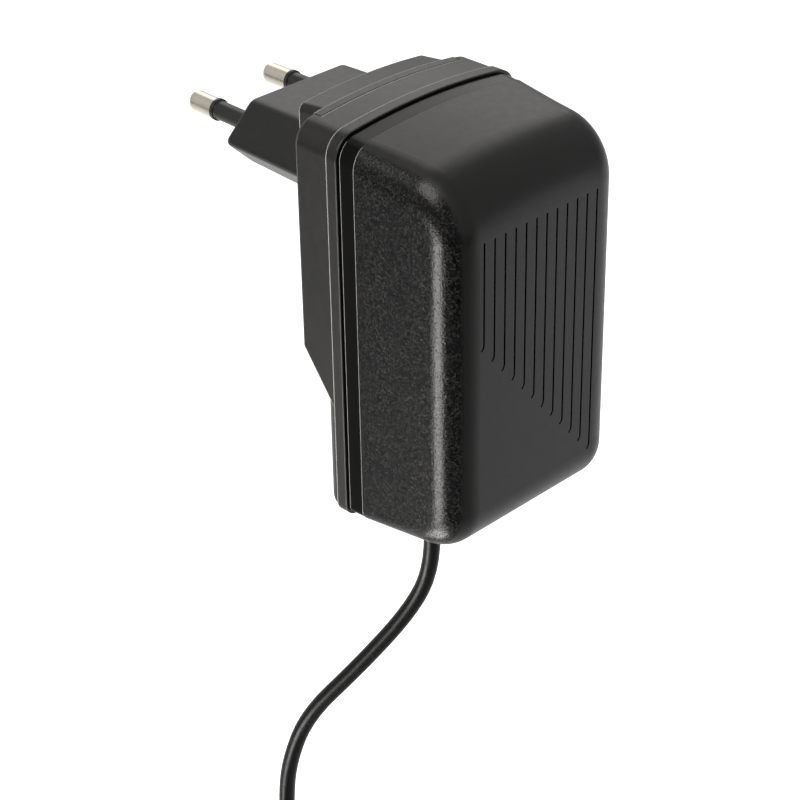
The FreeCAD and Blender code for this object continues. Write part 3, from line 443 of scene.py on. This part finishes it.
# The top's dark line colour is painted crease shade.
STRIP_BLACK, TOP_CREASE_SHADE = (0.004, 0.004, 0.004), (0.002, 0.002, 0.002)
RIM_LIGHT_RADIUS = 0.24
grain = tree.nodes.new("ShaderNodeTexVoronoi")
feed(tree, grain.inputs["Vector"], place)
feed(tree, grain.inputs["Scale"], GRAIN_CELLS)
cell_shade, cell_height, _ = parts_of(tree, grain.outputs["Color"])
speck_and_glint = spread(tree, cell_shade, 0.0, 1.0, SPECK_GLINT_START, SPECK_GLINT_FULL)
satin = tones(tree, spread(tree, noise(tree, place, DRIFT), 0.0, 1.0), SATIN_DARK, SATIN_LIGHT)
colour = tones(tree, is_side, satin, tones(tree, speck_and_glint, PANEL_BLACK, PANEL_SPECK_AND_GLINT))
colour = tones(tree, on_strip, colour, STRIP_BLACK)
# The rear edge line: a painted highlight on the sides, painted crease shade on the top.
rim_light_and_crease_shade = tones(tree, is_side, TOP_CREASE_SHADE, PAINTED_RIM_HIGHLIGHT)
feed(tree, shader.inputs["Base Color"], paint_rim_highlight(tree, colour, RIM_LIGHT_RADIUS, rim_light_and_crease_shade))
print("grain cells in a millimetre", GRAIN_CELLS * MM)

# %% [markdown]
# Gloss sets the three finishes apart more than their colours do. The panels and the strip are smoother
# than the satin part and mirror less. The strip's side mirrors almost nothing, so that it stays black
# from every direction.

# %% The front shell's gloss
SATIN_ROUGH, PANEL_ROUGH, STRIP_ROUGH = (0.32, 0.38), 0.22, 0.2
SATIN_SHINE, PANEL_SHINE = 0.42, 0.22
STRIP_TOP_SHINE, STRIP_SIDE_SHINE = 0.2, 0.03
satin_rough = spread(tree, noise(tree, place, WANDER), *SATIN_ROUGH)
rough = mixed(tree, on_strip, mixed(tree, is_side, satin_rough, PANEL_ROUGH), STRIP_ROUGH)
feed(tree, shader.inputs["Roughness"], rough)
shell_shine = mixed(tree, is_side, SATIN_SHINE, PANEL_SHINE)
strip_shine = mixed(tree, is_side, STRIP_TOP_SHINE, STRIP_SIDE_SHINE)
feed(tree, shader.inputs["Specular IOR Level"], mixed(tree, on_strip, shell_shine, strip_shine))
print("roughness of satin, panel and strip", SATIN_ROUGH, PANEL_ROUGH, STRIP_ROUGH)

# %% [markdown]
# The grain can be felt too: each cell is a small pit with a depth of its own. It is far too fine for
# the mesh, so it is a bump. The satin part has the rear shell's fine grain, twice as high, and the
# strip is smooth.

# %% The front shell's relief
SATIN_GRAIN, GRAIN_DEPTH = 0.012 * MM, 0.052 * MM
SHELL_RIM = 0.16
soft = mathed(tree, "MULTIPLY", noise(tree, place, FINE, FINE_DETAIL), SATIN_GRAIN)
pits = mathed(tree, "MULTIPLY", grain.outputs["Distance"], cell_height)
height = mixed(tree, is_side, soft, mathed(tree, "MULTIPLY", pits, GRAIN_DEPTH))
relief(tree, shader, mixed(tree, on_strip, height, 0.0), SHELL_RIM)
FINISHES["housing_grained"] = front_black
print("front shell's material has", len(tree.nodes), "nodes")

# %% [markdown]
# Which piece wears which finish is already written in the record that comes with the model. A second
# list here could disagree with it, so a loop reads the record.


# %% Dress every construction part by its slot in the record
def dress(piece, material):
    """Puts one material on a piece."""
    piece.data.materials.clear()
    piece.data.materials.append(material)


for part in frame["record"]["subparts"]:
    dress(nodes[part["node"]], FINISHES[part["material_slot"]])
dress(cord, FINISHES["cord_jacket"])
print("dressed", len(nodes), "nodes and the cord")

# %% [markdown]
# The studio is a pale floor under a white world. The floor is a plane far enough below the object for
# the cord to hang free, and its place is written into its mesh.

# %% The floor
FLOOR_SIZE, FLOOR_HEIGHT = 8.0, -0.45
bpy.ops.object.select_all(action="DESELECT")
bpy.ops.mesh.primitive_plane_add(size=FLOOR_SIZE, location=(0, 0, FLOOR_HEIGHT))
floor = bpy.context.object
floor.name = "studio_floor"
bpy.ops.object.transform_apply(location=True, rotation=True, scale=True)
print("floor at", FLOOR_HEIGHT, "m")

# %% [markdown]
# Black plastic is drawn by what it mirrors, while the background of the picture is white. Brighter
# lamps would whiten the background and turn the black grey. So what the camera sees, what is mirrored
# and what lights the object are three shaders, and the kind of ray chooses between them.


# %% Helpers that show one thing to the camera and another to reflections
def by_ray(tree, lit, mirrored, shown):
    """One shader for light, another for reflections and a third for the camera."""
    rays = tree.nodes.new("ShaderNodeLightPath")
    result = lit
    for name, other in (("Is Glossy Ray", mirrored), ("Is Camera Ray", shown)):
        mix = tree.nodes.new("ShaderNodeMixShader")
        tree.links.new(rays.outputs[name], mix.inputs[0])
        tree.links.new(result, mix.inputs[1])
        tree.links.new(other, mix.inputs[2])
        result = mix.outputs[0]
    return result


def glow(tree, strength, kind="ShaderNodeEmission"):
    """A white light of one strength, as a number or a value."""
    node = tree.nodes.new(kind)
    feed(tree, node.inputs["Color"], (1.0, 1.0, 1.0, 1.0))
    feed(tree, node.inputs["Strength"], strength)
    return node.outputs[0]


# %% [markdown]
# The floor is painted a dull white, and the camera sees it glow to pure white. In reflections it is
# bright behind and to the right of the object and dark towards the camera. The front face mirrors
# the bright part, the side panel a middle grey, and the rounded edge between them the dark part.
# Cards of grey and black paper would do the same, but a slow change from dark to bright has no edges.

# %% The floor's paint
PAINT_WHITE, PAINT_ROUGH = (0.9, 0.9, 0.9, 1.0), 0.9
FLOOR_DARK, FLOOR_BRIGHT, FLOOR_SHOWN = 0.06, 1.0, 1.0
RIGHTWARDS, BACKWARDS = 1.3, 0.7
DARK_UNTIL, BRIGHT_FROM = -0.9, 0.4
floor_paint, tree, shader, place = new_material("floor_paint")
shader.inputs["Base Color"].default_value = PAINT_WHITE
shader.inputs["Roughness"].default_value = PAINT_ROUGH
across, deep, _ = parts_of(tree, place)
rightwards = mathed(tree, "MULTIPLY", across, RIGHTWARDS)
away = mathed(tree, "ADD", rightwards, mathed(tree, "MULTIPLY", deep, BACKWARDS))
floor_level = spread(tree, away, FLOOR_DARK, FLOOR_BRIGHT, DARK_UNTIL, BRIGHT_FROM)
seen = tree.nodes.new("ShaderNodeAddShader")
tree.links.new(shader.outputs[0], seen.inputs[0])
tree.links.new(glow(tree, FLOOR_SHOWN), seen.inputs[1])
painted = by_ray(tree, shader.outputs[0], glow(tree, floor_level), seen.outputs[0])
tree.links.new(painted, tree.nodes["Material Output"].inputs["Surface"])
floor.data.materials.append(floor_paint)
print("reflections see the floor from", FLOOR_DARK, "to", FLOOR_BRIGHT)

# %% [markdown]
# The world is the soft light from all round. It could be a picture of a room, but a plain one draws no
# windows on the plastic. It is white to the camera and less than half as bright to the object and in
# reflections, which keeps the black dark.

# %% The world
SKY_LIT, SKY_MIRRORED, SKY_SHOWN = 0.4, 0.45, 1.0
BACKGROUND = "ShaderNodeBackground"
world = bpy.data.worlds.new("studio_world")
bpy.context.scene.world = world
world.use_nodes = True
sky = world.node_tree
sky_light = by_ray(sky, *[glow(sky, level, BACKGROUND) for level in (SKY_LIT, SKY_MIRRORED, SKY_SHOWN)])
sky.links.new(sky_light, sky.nodes["World Output"].inputs["Surface"])
print("the world lights at", SKY_LIT)

# %% [markdown]
# Four soft lamps draw the highlights. Three stand to the left: one is mirrored along the rounded
# front edge, one at that edge's lower end and one at its upper corner. The fourth stands at the back
# right and lights the top. Small lamps close by give short streaks that end where the real ones do,
# which one large lamp would not. They are weak, so that each colour shows about as it is written.

# %% The lamps
LAMP_FOCUS = mm(0, -35, -25)
LAMP_COLOUR = (1.0, 0.975, 0.94)


def soft_lamp(name, azimuth, elevation, distance, side, power):
    """A square soft lamp that stands off the housing at an angle and faces it."""
    data = bpy.data.lights.new(name, "AREA")
    data.shape = "SQUARE"
    data.size = side
    data.energy = power
    data.color = LAMP_COLOUR
    lamp = bpy.data.objects.new(name, data)
    bpy.context.scene.collection.objects.link(lamp)
    a, e = math.radians(azimuth), math.radians(elevation)
    away = Vector((math.sin(a) * math.cos(e), -math.cos(a) * math.cos(e), math.sin(e)))
    lamp.location = LAMP_FOCUS + away * distance
    lamp.rotation_euler = away.to_track_quat("Z", "Y").to_euler()
    lamp.visible_camera = False
    print(name, "at", [round(c, 2) for c in lamp.location])


soft_lamp("edge_lamp", azimuth=-98, elevation=-28, distance=0.55, side=0.24, power=2.9)
soft_lamp("under_lamp", azimuth=-100, elevation=-62, distance=0.36, side=0.15, power=1.0)
soft_lamp("corner_lamp", azimuth=-96, elevation=48, distance=0.6, side=0.34, power=2.8)
soft_lamp("top_lamp", azimuth=136, elevation=38, distance=0.9, side=0.7, power=1.7)
bpy.context.scene.view_settings.view_transform = "Standard"
